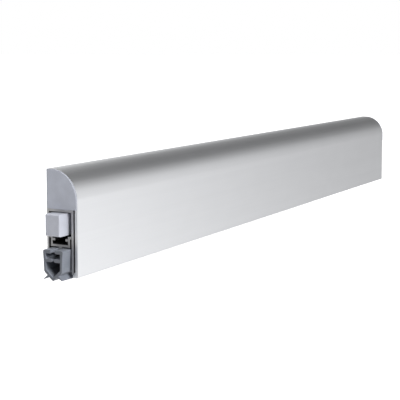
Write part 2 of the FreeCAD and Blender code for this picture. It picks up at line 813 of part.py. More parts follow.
def build_leaf_spring(label, unit):
    """A bowed strip with a rolled eye at each end and a rivet hole in the middle."""
    body = new_body(label)
    start_x, end_x = unit
    middle_x = (start_x + end_x) / 2
    half_span = leaf_span / 2
    radius = (half_span * half_span + leaf_bow * leaf_bow) / (2 * leaf_bow)
    centre_z = eye_z - leaf_bow + radius
    seat = eye_bore + size.leaf_thickness / 2
    half_strip = half_span - seat
    lower_radius = radius + size.leaf_thickness / 2
    upper_radius = radius - size.leaf_thickness / 2
    lower_z = centre_z - (lower_radius * lower_radius - half_strip * half_strip).root()
    upper_z = centre_z - (upper_radius * upper_radius - half_strip * half_strip).root()
    strip = new_sketch(body, "XZ_Plane", middle)
    path = [
        (middle_x - half_strip, lower_z),
        Arc(lower_radius, 1),
        (middle_x + half_strip, lower_z),
        (middle_x + half_strip, upper_z),
        Arc(upper_radius, -1),
        (middle_x - half_strip, upper_z),
    ]
    draw_outline(strip, path)
    extrude(body, strip, size.leaf_width, both_ways=True)
    for x in unit:
        eye = new_sketch(body, "XZ_Plane", middle)
        draw_circle(eye, x, eye_z, eye_radius)
        draw_circle(eye, x, eye_z, eye_bore)
        extrude(body, eye, size.leaf_width, both_ways=True)
    hole = new_sketch(body, "XY_Plane")
    draw_circle(hole, middle_x, -middle, rivet_radius)
    cut(body, hole)


def build_shoe(label, unit):
    """A shoe whose foot sits in the drop bar's groove and whose plate carries the leaf spring."""
    body = new_body(label)
    middle_x = (unit[0] + unit[1]) / 2
    groove_half = inner_half - size.bar_side_gap - size.bar_wall
    foot_half = groove_half - size.shoe_side_gap
    neck_half = groove_half - size.bar_lip_reach - size.shoe_side_gap
    half = [
        (foot_half, bar_web_z + size.shoe_play),
        (foot_half, bar_lip_z - size.shoe_play),
        (neck_half, bar_lip_z - size.shoe_play),
        (neck_half, platform_z),
        (size.shoe_platform_width / 2, platform_z),
        (size.shoe_platform_width / 2, leaf_low_z),
    ]
    face = new_sketch(body, "YZ_Plane", middle_x)
    draw_outline(face, end_view(both_sides(half)))
    extrude(body, face, size.shoe_length, both_ways=True)
    bore = new_sketch(body, "XY_Plane", leaf_low_z)
    draw_circle(bore, middle_x, -middle, rivet_radius)
    cut(body, bore, size.shoe_rivet_grip)


def build_pins(label, places):
    """Plain pins across the housing, pressed into the anchors' legs."""
    steps = [(0, size.anchor_width, pin_radius, pin_radius)]
    back = size.anchor_width / 2 - middle
    group_pieces(label, [turned_piece("pin", "across", (x, back, eye_z), steps) for x in places])


def build_rivets():
    web_z = room_top_z - size.anchor_sheet
    rod_grip = rod_top_z - slider_sheet_z
    head_z = stud_z - size.head_below_axis
    shoe_z = leaf_low_z - size.shoe_rivet_grip
    shoe_grip = leaf_top_z + size.shoe_rivet_play - shoe_z
    shoe_middles = [(unit[0] + unit[1]) / 2 for unit in units.values()]
    web = [rivet("web_rivet", (x, -middle, web_z), housing_height - web_z) for x in web_rivets]
    rod = [rivet("rod_rivet", (x, -middle, slider_sheet_z), rod_grip) for x in slider_rivets.values()]
    rod.append(rivet("head_rivet", (head_rivet, -middle, head_z), rod_top_z - head_z))
    shoe = [rivet("shoe_rivet", (x, -middle, shoe_z), shoe_grip) for x in shoe_middles]
    group_pieces("web_rivets", web)
    group_pieces("rod_rivets", rod)
    group_pieces("shoe_rivets", shoe)


def build_all():
    build_housing()
    build_cover()
    build_end_cap("end_cap_trigger_side", -1)
    build_end_cap("end_cap_lock_side", 1)
    build_drop_bar()
    build_gasket()
    build_plunger()
    build_stud()
    build_lock_nut()
    build_rod_head()
    build_push_rod()
    stud_guide_bottom = stud_z - size.stud_diameter / 2 - size.guide_floor
    rod_guide_start = rod_guide_x - size.guide_length / 2
    build_guide("plunger_guide", guide_x, stud_guide_bottom, draw_stud_opening)
    build_guide("rod_guide", rod_guide_start, rod_bottom_z - size.guide_floor, draw_rod_opening)
    for key, unit in units.items():
        fixed_sheet_z = room_top_z - size.anchor_sheet
        build_anchor(f"fixed_anchor_{key}", unit[1], fixed_sheet_z, 1, fixed_rivets[key])
        build_anchor(f"sliding_anchor_{key}", unit[0], slider_sheet_z, -1, slider_rivets[key])
        build_leaf_spring(f"leaf_spring_{key}", unit)
        build_shoe(f"spring_shoe_{key}", unit)
    build_pins("fixed_anchor_pins", [unit[1] for unit in units.values()])
    build_pins("sliding_anchor_pins", [unit[0] for unit in units.values()])
    build_rivets()
    document.recompute()


def check_and_write():
    failed = [item.Label for item in document.Objects if {"Invalid", "Error"} & set(item.State)]
    for node in nodes:
        if node.Shape.isNull() or not node.Shape.isValid() or not node.Shape.Solids:
            failed.append(node.Label)
    if failed:
        raise RuntimeError(f"these did not build: {', '.join(failed)}")
    os.makedirs("parts", exist_ok=True)
    for node in nodes:
        node.Shape.exportStep(f"parts/{node.Label}.step")
        print(f"{node.Label}: {len(node.Shape.Solids)} solid, {node.Shape.Volume:.1f} mm3")


build_all()
check_and_write()
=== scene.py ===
import logging
import math
from dataclasses import dataclass, replace
from enum import Enum
from typing import Any, ClassVar, Iterable, Optional, Sequence, Union

import bmesh
import bpy
from bmesh.types import BMEdge, BMFace, BMVert
from bpy.types import Material, Node, NodeSocket, NodeTree, Object
from mathutils import Matrix, Vector


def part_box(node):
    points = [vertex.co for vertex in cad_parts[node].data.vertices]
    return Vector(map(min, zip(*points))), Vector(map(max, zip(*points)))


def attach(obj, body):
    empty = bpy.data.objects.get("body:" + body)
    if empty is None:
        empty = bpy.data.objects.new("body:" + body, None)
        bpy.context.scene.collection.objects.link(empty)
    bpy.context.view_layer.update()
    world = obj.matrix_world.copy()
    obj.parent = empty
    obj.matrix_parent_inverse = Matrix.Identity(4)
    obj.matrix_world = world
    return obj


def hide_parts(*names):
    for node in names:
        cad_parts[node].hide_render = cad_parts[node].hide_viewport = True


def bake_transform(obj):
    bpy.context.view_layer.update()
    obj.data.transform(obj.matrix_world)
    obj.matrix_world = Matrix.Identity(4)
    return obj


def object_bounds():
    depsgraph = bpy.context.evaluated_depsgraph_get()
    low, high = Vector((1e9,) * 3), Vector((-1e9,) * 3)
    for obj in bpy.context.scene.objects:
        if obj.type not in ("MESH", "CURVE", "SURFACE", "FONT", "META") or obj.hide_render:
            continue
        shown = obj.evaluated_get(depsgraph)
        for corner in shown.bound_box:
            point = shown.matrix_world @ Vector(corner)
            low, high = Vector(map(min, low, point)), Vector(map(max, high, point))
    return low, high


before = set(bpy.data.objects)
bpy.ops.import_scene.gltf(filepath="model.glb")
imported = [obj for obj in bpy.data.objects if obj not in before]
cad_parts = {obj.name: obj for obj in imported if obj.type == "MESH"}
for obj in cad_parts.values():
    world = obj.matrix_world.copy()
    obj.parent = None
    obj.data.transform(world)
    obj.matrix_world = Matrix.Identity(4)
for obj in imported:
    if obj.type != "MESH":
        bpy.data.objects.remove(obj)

# Surface-mounted door bottom seal. Its sizes are in millimetres, and become metres as a piece is finished.
# The studio is in metres. X runs along the door, Y = 0 is the door's face with the seal towards -Y, and Z
# points up.

CAD_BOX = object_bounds()
LOG = logging.getLogger("door_bottom_seal")

Pair = tuple[float, float]
Triple = tuple[float, float, float]
Colour = tuple[float, float, float]

MM = 0.001

# In millimetres: points closer than WELD become one, points closer than TOUCH to a plane or to each other
# touch, and an edge that reaches further than LONG along X runs along the seal
WELD = 1e-5
TOUCH = 1e-4
LONG = 1.0

# Sizes of the marks on the surfaces along X, Y and Z, in millimetres
HAZE = (18.0, 9.0, 9.0)
GRIT = (0.14, 0.14, 0.14)
SAW_MARKS = (40.0, 6.0, 0.16)
CLOUDS = (7.0, 5.0, 5.0)
SPECKS = (0.3, 0.3, 0.3)
PITS = (0.31, 0.31, 0.31)
FLOOR_CLOUDS = (400.0, 400.0, 400.0)

# How far the saw marks lean, in degrees
SAW_TURN = 24.0

# The mask of the faces along X comes up between these shares of X in a face's normal: it places saw marks on
# sawn ends, and painted shade on plastic and rubber ends and rims
CUT_FACE = (0.75, 0.95)

# What noise gives on average
NOISE_MIDDLE = 0.5

# Near black painted into the drop bar's groove as painted shade
GROOVE_SHADE_COLOUR: Colour = (0.012, 0.012, 0.013)
BLACK: Colour = (0.0, 0.0, 0.0)
WHITE = (1.0, 1.0, 1.0, 1.0)


class Body(str, Enum):
    """The bodies that move as one."""

    HOUSING = "housing"
    TRIGGER = "trigger"
    DROP_SEAL = "drop_seal"


class Field:
    """A number that varies over a surface, held as a socket and used in plain arithmetic."""

    def __init__(self, nodes: "Nodes", socket: NodeSocket) -> None:
        """Keep the tree and the socket that gives the number."""
        self.nodes = nodes
        self.socket = socket

    def _math(self, operation: str, first: "Amount", second: "Amount" = 0.0) -> "Field":
        """Add one Math node.

        Args:
            operation: the node's operation.
            first: its first number.
            second: its second number, where the operation takes one.

        Returns:
            The node's result.
        """
        made = self.nodes.add("ShaderNodeMath", {"operation": operation}, {0: first, 1: second})
        return Field(self.nodes, made.outputs[0])

    def __add__(self, other: "Amount") -> "Field":
        """Field + number."""
        return self._math("ADD", self, other)

    def __radd__(self, other: "Amount") -> "Field":
        """Number + field."""
        return self._math("ADD", other, self)

    def __sub__(self, other: "Amount") -> "Field":
        """Field - number."""
        return self._math("SUBTRACT", self, other)

    def __rsub__(self, other: "Amount") -> "Field":
        """Number - field."""
        return self._math("SUBTRACT", other, self)

    def __mul__(self, other: "Amount") -> "Field":
        """Field * number."""
        return self._math("MULTIPLY", self, other)

    def __rmul__(self, other: "Amount") -> "Field":
        """Number * field."""
        return self._math("MULTIPLY", other, self)

    def __abs__(self) -> "Field":
        """The number without its sign."""
        return self._math("ABSOLUTE", self)

    def rise(self, low: float, high: float) -> "Field":
        """A soft step.

        Args:
            low: where the step starts, at 0.
            high: where it ends, at 1.

        Returns:
            A number from 0 to 1.
        """
        sockets = {"Value": self, "From Min": low, "From Max": high}
        made = self.nodes.add("ShaderNodeMapRange", {"interpolation_type": "SMOOTHSTEP"}, sockets)
        return Field(self.nodes, made.outputs[0])


Amount = Union[float, Field]


class Nodes:
    """A node tree that is written as expressions."""

    def __init__(self, tree: NodeTree) -> None:
        """Take over an emptied tree."""
        tree.nodes.clear()
        self.tree = tree

    def add(
        self, kind: str, settings: Optional[dict[str, Any]] = None, sockets: Optional[dict[Any, Any]] = None
    ) -> Node:
        """Add a node, its settings first.

        Args:
            kind: the node's type.
            settings: the node's own properties.
            sockets: values or links of its sockets, by name or number.

        Returns:
            The node.
        """
        made = self.tree.nodes.new(kind)
        for name, value in (settings or {}).items():
            setattr(made, name, value)
        for name, value in (sockets or {}).items():
            link = value.socket if isinstance(value, Field) else value
            if isinstance(link, NodeSocket):
                self.tree.links.new(link, made.inputs[name])
            else:
                made.inputs[name].default_value = value
        return made

    def place(self, feature: Triple, shift: float, turn: float = 0.0) -> NodeSocket:
        """The piece's own coordinates, measured in a pattern's features.

        Args:
            feature: size of the features along X, Y and Z, in millimetres.
            shift: moves the pattern, so that two patterns differ.
            turn: turns it about X, in degrees.

        Returns:
            The coordinates' socket.
        """
        place = self.add("ShaderNodeTexCoord").outputs["Object"]
        if turn:
            turned = {"Vector": place, "Rotation": (math.radians(turn), 0.0, 0.0)}
            place = self.add("ShaderNodeMapping", {"vector_type": "TEXTURE"}, turned).outputs[0]
        scale = tuple(1 / (length * MM) for length in feature)
        sockets = {"Vector": place, "Scale": scale, "Location": (shift,) * 3}
        return self.add("ShaderNodeMapping", {}, sockets).outputs[0]

    def noise(self, feature: Triple, detail: float = 2.0, shift: float = 0.0, turn: float = 0.0) -> Field:
        """Soft noise on the piece's own coordinates.

        Args:
            feature: size of its features along X, Y and Z, in millimetres.
            detail: how many finer layers it has.
            shift: moves the pattern, so that two patterns differ.
            turn: turns it about X, in degrees.

        Returns:
            A number about 0.5.
        """
        sockets = {"Vector": self.place(feature, shift, turn), "Scale": 1.0, "Detail": detail}
        return Field(self, self.add("ShaderNodeTexNoise", {}, sockets).outputs[0])

    def cells(self, feature: Triple, shift: float = 0.0) -> Field:
        """Distance from the middles of small cells.

        Args:
            feature: size of a cell along X, Y and Z, in millimetres.
            shift: moves the pattern.

        Returns:
            A number from 0 in a cell's middle to about 1 at its edge.
        """
        made = self.add("ShaderNodeTexVoronoi", {}, {"Vector": self.place(feature, shift), "Scale": 1.0})
        return Field(self, made.outputs["Distance"])

    def on_cut_ends(self) -> Field:
        """Find the faces that look along X, such as those where a profile was sawn off.

        Returns:
            1 on those faces, and 0 elsewhere.
        """
        normal = self.add("ShaderNodeTexCoord").outputs["Normal"]
        along = self.add("ShaderNodeSeparateXYZ", {}, {0: normal}).outputs["X"]
        return abs(Field(self, along)).rise(*CUT_FACE)

    def tint(self, amount: Field, first: Union[Colour, NodeSocket], second: Colour) -> NodeSocket:
        """Mix two colours.

        Args:
            amount: 0 for the first colour and 1 for the second.
            first: a colour, or the socket of one.
            second: a colour.

        Returns:
            The mixed colour's socket.
        """
        base = first if isinstance(first, NodeSocket) else (*first, 1.0)
        sockets = {0: amount, 6: base, 7: (*second, 1.0)}
        return self.add("ShaderNodeMix", {"data_type": "RGBA"}, sockets).outputs[2]

    def relief(self, height: Field, depth: float, strength: float = 1.0) -> NodeSocket:
        """A bump from a height.

        Args:
            height: the height as a share.
            depth: what a height of 1 stands for, in millimetres.
            strength: how much of it shows.

        Returns:
            The normal's socket.
        """
        sockets = {"Height": height, "Distance": depth * MM, "Strength": strength}
        return self.add("ShaderNodeBump", {}, sockets).outputs[0]


def weigh(fields: Sequence[Field], shares: Sequence[float]) -> Field:
    """Add up numbers by their shares.

    Args:
        fields: the numbers.
        shares: how much each of them counts.

    Returns:
        The sum.
    """
    total, *others = [field * share for field, share in zip(fields, shares)]
    for other in others:
        total = total + other
    return total


def shade(colour: Colour, factor: float) -> Colour:
    """A colour made darker or lighter by a factor."""
    return tuple(min(1.0, channel * factor) for channel in colour)


@dataclass(frozen=True)
class Finish:
    """What all finishes share."""

    name: str
    slot: str
    colour: Colour
    roughness: float

    def shader(self, nodes: Nodes) -> Node:
        """Build the finish's shader in a tree."""
        raise NotImplementedError

    def material(self) -> Material:
        """Build the finish once, and hand out the same material after that.

        Returns:
            The material.
        """
        made = bpy.data.materials.get(self.name)
        if made is None:
            made = bpy.data.materials.new(self.name)
            made.use_nodes = True
            nodes = Nodes(made.node_tree)
            surface = self.shader(nodes).outputs[0]
            nodes.add("ShaderNodeOutputMaterial", {}, {"Surface": surface})
        return made


class Grain(Enum):
    """How a metal surface was made, as the size of its marks along X, Y and Z in millimetres."""

    DRAWN = (90.0, 0.5, 0.5)
    ROLLED = (14.0, 0.3, 0.3)
    PLATED = (0.9, 0.9, 0.9)
    PRESSED = (0.35, 0.35, 0.9)


@dataclass(frozen=True)
class Groove:
    """The inside of a groove along the seal, in millimetres, with its middle as a distance from the door.

    Outside its walls the mask is whole as far as `near`, and gone from `far` on.
    """

    middle: float
    half_width: float
    low: float
    high: float
    near: float = 0.02
    far: float = 0.1

    def mask(self, nodes: Nodes) -> Field:
        """Find the groove's walls.

        Args:
            nodes: the tree to build in.

        Returns:
            1 on the floor, the walls and the undersides of the lips, and 0 elsewhere.
        """
        place = nodes.add("ShaderNodeTexCoord").outputs["Object"]
        axes = nodes.add("ShaderNodeSeparateXYZ", {}, {0: place}).outputs
        across = abs(Field(nodes, axes["Y"]) + self.middle * MM)
        height = Field(nodes, axes["Z"])
        beside = across.rise((self.half_width + self.near) * MM, (self.half_width + self.far) * MM)
        above = height.rise((self.high + self.near) * MM, (self.high + self.far) * MM)
        inside = height.rise((self.low - self.far) * MM, (self.low - self.near) * MM)
        return inside * (1 - beside) * (1 - above)


@dataclass(frozen=True)
class Metal(Finish):
    """Bare, anodised or plated metal with the marks of its making.

    The tone mixes fine marks, broad ones and haze, and the relief mixes fine marks and grit.
    """

    grain: Grain = Grain.DRAWN
    spread: float = 0.1
    relief: float = 0.004
    contrast: float = 0.06
    sawn: bool = False
    # Inside this groove the finish is painted near black and not metallic: painted shade
    groove: Optional[Groove] = None
    broad_factor: ClassVar[float] = 6.0
    tone_shares: ClassVar[Triple] = (0.35, 0.35, 0.3)
    tone_span: ClassVar[Pair] = (0.36, 0.64)
    relief_shares: ClassVar[Pair] = (0.7, 0.3)
    haze_spread: ClassVar[float] = 0.6
    saw_relief: ClassVar[float] = 1.6
    saw_middle: ClassVar[float] = 0.35
    saw_spread: ClassVar[float] = 0.22

    def shader(self, nodes: Nodes) -> Node:
        """Metal with lines or spangle, a faint haze, saw marks on cut ends and painted shade in its groove.

        Args:
            nodes: the tree to build in.

        Returns:
            The shader.
        """
        marks = nodes.noise(self.grain.value, detail=3.0)
        broad_grain = tuple(self.broad_factor * length for length in self.grain.value)
        broad = nodes.noise(broad_grain, detail=2.0, shift=4.3)
        haze = nodes.noise(HAZE, detail=3.0, shift=1.7)
        grit = nodes.noise(GRIT, detail=1.0, shift=9.1)
        tone = weigh((marks, broad, haze), self.tone_shares)
        height = weigh((marks, grit), self.relief_shares)
        rough = self.roughness + (broad - NOISE_MIDDLE) * self.spread
        rough = rough + (haze - NOISE_MIDDLE) * (self.haze_spread * self.spread)
        darker, lighter = shade(self.colour, 1 - self.contrast), shade(self.colour, 1 + self.contrast)
        colour = nodes.tint(tone.rise(*self.tone_span), darker, lighter)
        metallic: Amount = 1.0
        if self.sawn:
            cut = nodes.on_cut_ends()
            saw = nodes.noise(SAW_MARKS, detail=2.0, shift=2.6, turn=SAW_TURN)
            height = height * (1 - cut) + saw * cut * self.saw_relief
            rough = rough + cut * (saw - self.saw_middle) * self.saw_spread
        # Painted shade: the groove's floor, walls and lip undersides are painted near black and made less
        # metallic
        if self.groove:
            groove_shade_mask = self.groove.mask(nodes) * (1 - nodes.on_cut_ends())
            colour = nodes.tint(groove_shade_mask, colour, GROOVE_SHADE_COLOUR)
            metallic = 1 - groove_shade_mask
        sockets = {
            "Base Color": colour,
            "Metallic": metallic,
            "Roughness": rough,
            "Normal": nodes.relief(height, self.relief),
        }
        return nodes.add("ShaderNodeBsdfPrincipled", {}, sockets)


class Skin(Enum):
    """The skin of a moulded or extruded piece, as the size of its grain along X, Y and Z in millimetres."""

    SPARKED = (0.22, 0.22, 0.22)
    SMOOTH = (0.5, 0.5, 0.5)
    FILLED = (0.6, 0.16, 0.16)
    EXTRUDED = (30.0, 0.3, 0.3)


@dataclass(frozen=True)
class Polymer(Finish):
    """Plastic or rubber with its moulded grain or its extrusion lines.

    The relief mixes grain and pits, and the tone mixes clouds and grain. Its two tone factors are painted
    shade: the first sets how bright the faces along X are painted, and the second the others.
    """

    skin: Skin = Skin.SPARKED
    relief: float = 0.01
    mottle: float = 0.06
    sheen: float = 0.0
    # Painted shade: how bright the faces along X, and then all other faces, are painted
    painted_end_shade_tone: float = 1.0
    painted_rim_shade_tone: float = 1.0
    relief_shares: ClassVar[Pair] = (0.75, 0.25)
    tone_shares: ClassVar[Pair] = (0.6, 0.4)
    tone_span: ClassVar[Pair] = (0.35, 0.65)
    speck_span: ClassVar[Pair] = (0.6, 0.72)
    speck_strength: ClassVar[float] = 0.25
    speck_factor: ClassVar[float] = 3.0
    cloud_spread: ClassVar[float] = 0.12
    grain_spread: ClassVar[float] = 0.1

    def shader(self, nodes: Nodes) -> Node:
        """Plastic with a grained skin, clouds of slightly other tone, fine specks, and painted shade on its
        ends or rims.

        Args:
            nodes: the tree to build in.

        Returns:
            The shader.
        """
        grain = nodes.noise(self.skin.value, detail=2.0)
        pits = nodes.cells(PITS, shift=3.0)
        clouds = nodes.noise(CLOUDS, detail=3.0, shift=5.9)
        specks = nodes.noise(SPECKS, detail=1.0, shift=8.2).rise(*self.speck_span)
        height = weigh((grain, pits), self.relief_shares)
        tone = weigh((clouds, grain), self.tone_shares)
        darker, lighter = shade(self.colour, 1 - self.mottle), shade(self.colour, 1 + self.mottle)
        speck_colour = shade(self.colour, 1 + self.speck_factor * self.mottle)
        surface = nodes.tint(tone.rise(*self.tone_span), darker, lighter)
        surface = nodes.tint(specks * self.speck_strength, surface, speck_colour)
        # Painted shade: the faces along X are darkened towards black
        if self.painted_end_shade_tone < 1:
            surface = nodes.tint(nodes.on_cut_ends() * (1 - self.painted_end_shade_tone), surface, BLACK)
        # Painted shade: all faces that do not look along X are darkened towards black
        if self.painted_rim_shade_tone < 1:
            surface = nodes.tint((1 - nodes.on_cut_ends()) * (1 - self.painted_rim_shade_tone), surface, BLACK)
        rough = self.roughness + (clouds - NOISE_MIDDLE) * self.cloud_spread
        rough = rough + (grain - NOISE_MIDDLE) * self.grain_spread
        sockets = {
            "Base Color": surface,
            "Roughness": rough,
            "Normal": nodes.relief(height, self.relief),
            "Sheen Weight": self.sheen,
        }
        return nodes.add("ShaderNodeBsdfPrincipled", {}, sockets)


COVER_METAL = Metal(
    name="satin_anodised_cover", slot="cover_aluminium", colour=(0.853, 0.863, 0.884), roughness=0.34,
    grain=Grain.DRAWN, spread=0.03, relief=0.0012, contrast=0.01, sawn=True,
)
PROFILE_METAL = Metal(
    name="mill_finish_profile", slot="profile_aluminium", colour=(0.52, 0.52, 0.525), roughness=0.42,
    grain=Grain.DRAWN, spread=0.16, relief=0.008, contrast=0.06, sawn=True,
)
SPRING_METAL = Metal(
    name="rolled_spring_steel", slot="spring_steel", colour=(0.42, 0.42, 0.44), roughness=0.3,
    grain=Grain.ROLLED, spread=0.14, relief=0.005,
)
PLATED_METAL = Metal(
    name="zinc_plated_steel", slot="plated_steel", colour=(0.62, 0.62, 0.61), roughness=0.34,
    grain=Grain.PLATED, spread=0.2, relief=0.006,
)
RIVET_METAL = Metal(
    name="pressed_rivet", slot="rivet_aluminium", colour=(0.7, 0.7, 0.7), roughness=0.3,
    grain=Grain.PRESSED, spread=0.12, relief=0.005,
)
# The cap's rims, its faces that do not look along X, carry painted shade at 0.7 of its brightness
CAP_PLASTIC = Polymer(
    name="grained_cap_plastic", slot="cap_plastic", colour=(0.46, 0.48, 0.545), roughness=0.55,
    skin=Skin.SPARKED, relief=0.012, painted_rim_shade_tone=0.7,
)
PLUNGER_PLASTIC = Polymer(
    name="smooth_plunger_plastic", slot="plunger_plastic", colour=(0.485, 0.5, 0.56), roughness=0.42,
    skin=Skin.SMOOTH, relief=0.006,
)
GUIDE_PLASTIC = Polymer(
    name="filled_guide_plastic", slot="guide_plastic", colour=(0.05, 0.05, 0.055), roughness=0.5,
    skin=Skin.FILLED, relief=0.01, mottle=0.25,
)
# The gasket's ends carry painted shade, at 0.72 of its brightness
GASKET_RUBBER = Polymer(
    name="extruded_gasket_rubber", slot="gasket_rubber", colour=(0.186, 0.202, 0.238), roughness=0.6,
    skin=Skin.EXTRUDED, relief=0.02, mottle=0.09, sheen=0.1, painted_end_shade_tone=0.72,
)


@dataclass(frozen=True)
class Box:
    """A node's corners in millimetres, as the frame has them."""

    low: Vector
    high: Vector

    @classmethod
    def of(cls, node: str) -> "Box":
        """The box of a node of the frame."""
        low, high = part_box(node)
        return cls(low / MM, high / MM)

    @property
    def middle(self) -> Vector:
        """The box's centre."""
        return (self.low + self.high) / 2

    @property
    def span(self) -> Vector:
        """The box's three sides."""
        return self.high - self.low


@dataclass(frozen=True)
class Corner:
    """A corner of a section: its distance from the door, its height, and how far it is rounded."""

    depth: float
    height: float
    ease: float = 0.12
    steps: int = 2


class Blank:
    """A bmesh in millimetres that becomes one finished piece."""

    def __init__(self, name: str, finish: Finish) -> None:
        """Start an empty piece.

        Args:
            name: the piece's name.
            finish: the finish that it gets.
        """
        self.name = name
        self.finish = finish
        self.bm = bmesh.new()

    def outline(self, corners: Sequence[Corner], x: float) -> BMFace:
        """Draw a section across the seal as one face.

        Args:
            corners: the section's corners in order.
            x: its place along the seal.

        Returns:
            The face, with its corners rounded.
        """
        before = set(self.bm.faces)
        verts = [self.bm.verts.new((x, -corner.depth, corner.height)) for corner in corners]
        self.bm.faces.new(verts)
        groups: dict[tuple[float, int], list[BMVert]] = {}
        for corner, vert in zip(corners, verts):
            groups.setdefault((corner.ease, corner.steps), []).append(vert)
        for (ease, steps), members in groups.items():
            if ease > 0:
                self.bevel(members, ease, steps, affect="VERTICES")
        return next(face for face in self.bm.faces if face not in before)

    def bevel(self, geometry: Iterable[Any], width: float, steps: int, affect: str = "EDGES") -> None:
        """Round edges or corners.

        Args:
            geometry: the edges or vertices.
            width: how far the rounding reaches.
            steps: its segments.
            affect: EDGES or VERTICES.
        """
        bmesh.ops.bevel(
            self.bm,
            geom=list(geometry),
            offset=width,
            offset_type="OFFSET",
            segments=steps,
            profile=0.5,
            affect=affect,
            material=-1,
            clamp_overlap=True,
        )

    def pull(self, faces: Iterable[BMFace], distance: float) -> list[BMVert]:
        """Pull faces along the seal into a solid.

        Args:
            faces: the faces.
            distance: how far, along X.

        Returns:
            The new vertices at the far end.
        """
        made = bmesh.ops.extrude_face_region(self.bm, geom=list(faces))["geom"]
        verts = [item for item in made if isinstance(item, BMVert)]
        bmesh.ops.translate(self.bm, vec=(distance, 0.0, 0.0), verts=verts)
        return verts

    def edges_at(self, x: float) -> list[BMEdge]:
        """The edges that lie wholly in the plane at this place along X."""
        return [edge for edge in self.bm.edges if all(abs(v.co.x - x) < TOUCH for v in edge.verts)]

    def long_edges(self) -> list[BMEdge]:
        """The edges that run along the seal."""
        return [edge for edge in self.bm.edges if abs(edge.verts[0].co.x - edge.verts[1].co.x) > LONG]

    def done(self, body: Optional[Body], *nodes: str, smooth_angle: float = 32.0) -> Object:
        """Finish the piece: to metres, normals out, smooth shading, finish, body and what it replaces.

        Args:
            body: the body that it rides on, or None to attach it to no body.
            nodes: the nodes of the frame that it stands for.
            smooth_angle: edges sharper than this stay sharp, in degrees.

        Returns:
            The object.
        """
        bmesh.ops.remove_doubles(self.bm, verts=self.bm.verts, dist=WELD)
        bmesh.ops.recalc_face_normals(self.bm, faces=self.bm.faces)
        bmesh.ops.scale(self.bm, vec=(MM, MM, MM), verts=self.bm.verts)
        mesh = bpy.data.meshes.new(self.name)
        self.bm.to_mesh(mesh)
        self.bm.free()
        mesh.materials.append(self.finish.material())
        mesh.shade_smooth()
        mesh.set_sharp_from_angle(angle=math.radians(smooth_angle))
        piece = bpy.data.objects.new(self.name, mesh)
        bpy.context.scene.collection.objects.link(piece)
        weighted = piece.modifiers.new("flat_faces_stay_flat", "WEIGHTED_NORMAL")
        weighted.keep_sharp = True
        if body:
            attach(piece, body.value)
        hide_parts(*nodes)
        motion = f"rides on {body.value}" if body else "bends"
        LOG.info("%s: %d faces, %s", piece.name, len(mesh.polygons), motion)
        return piece


def dress(finish: Finish, *names: str) -> None:
    """Give nodes of the frame their finish.

    Args:
        finish: the finish.
        names: the nodes.
    """
    for name in names:
        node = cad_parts[name]
        for holder in node.material_slots:
            holder.material = finish.material()
        LOG.info("%s: node of the frame, finish %s", name, finish.name)


class SubAssembly:
    """Pieces that are built and dressed together."""

    def build(self) -> None:
        """Build the pieces and dress them."""
        raise NotImplementedError


@dataclass
class Cover(SubAssembly):
    """The clip-on cover: flat top, quarter-round shoulder, tall front, foot with a lip, and the hook."""

    wall: float = 1.35
    flat_top: float = 3.2
    lip_reach: float = 1.45
    lip_ease: float = 0.3
    foot_ease: float = 0.5
    rib_height: float = 2.5
    rib_reach: float = 0.7
    hook_back: float = 2.1
    hook_bead: float = 0.6
    hook_bead_height: float = 0.9
    hook_drop: float = 2.05
    end_ease: float = 0.14
    arc_steps: int = 40

    def build(self) -> None:
        """Draw the section and pull it along the seal."""
        box = Box.of("cover_profile")
        depth, top, foot = -box.low.y, box.high.z, box.low.z
        inside = depth - self.wall
        ceiling = top - self.wall
        radius = depth - self.flat_top
        bead_top = ceiling - self.hook_drop
        bead_bottom = bead_top - self.hook_bead_height
        foot_top = foot + self.wall
        rib_back = inside - self.rib_reach
        corners = [
            Corner(inside - self.lip_reach, foot, self.lip_ease, 3),
            Corner(depth, foot, self.foot_ease, 5),
            Corner(depth, top, radius, self.arc_steps),
            Corner(0.0, top),
            Corner(0.0, ceiling),
            Corner(self.hook_back, ceiling),
            Corner(self.hook_back, bead_top),
            Corner(self.hook_back - self.hook_bead, bead_top),
            Corner(self.hook_back, bead_bottom),
            Corner(self.flat_top, bead_bottom),
            Corner(self.flat_top, ceiling, 0.0),
            Corner(inside, ceiling, radius - self.wall, self.arc_steps // 2),
            Corner(inside, foot + self.rib_height),
            Corner(rib_back, foot + self.rib_height),
            Corner(rib_back, foot_top),
            Corner(inside - self.lip_reach, foot_top, self.lip_ease, 3),
        ]
        blank = Blank("cover", COVER_METAL)
        face = blank.outline(corners, box.low.x)
        blank.pull([face], box.span.x)
        blank.bevel(blank.edges_at(box.low.x) + blank.edges_at(box.high.x), self.end_ease, 2)
        blank.done(Body.HOUSING, "cover_profile")


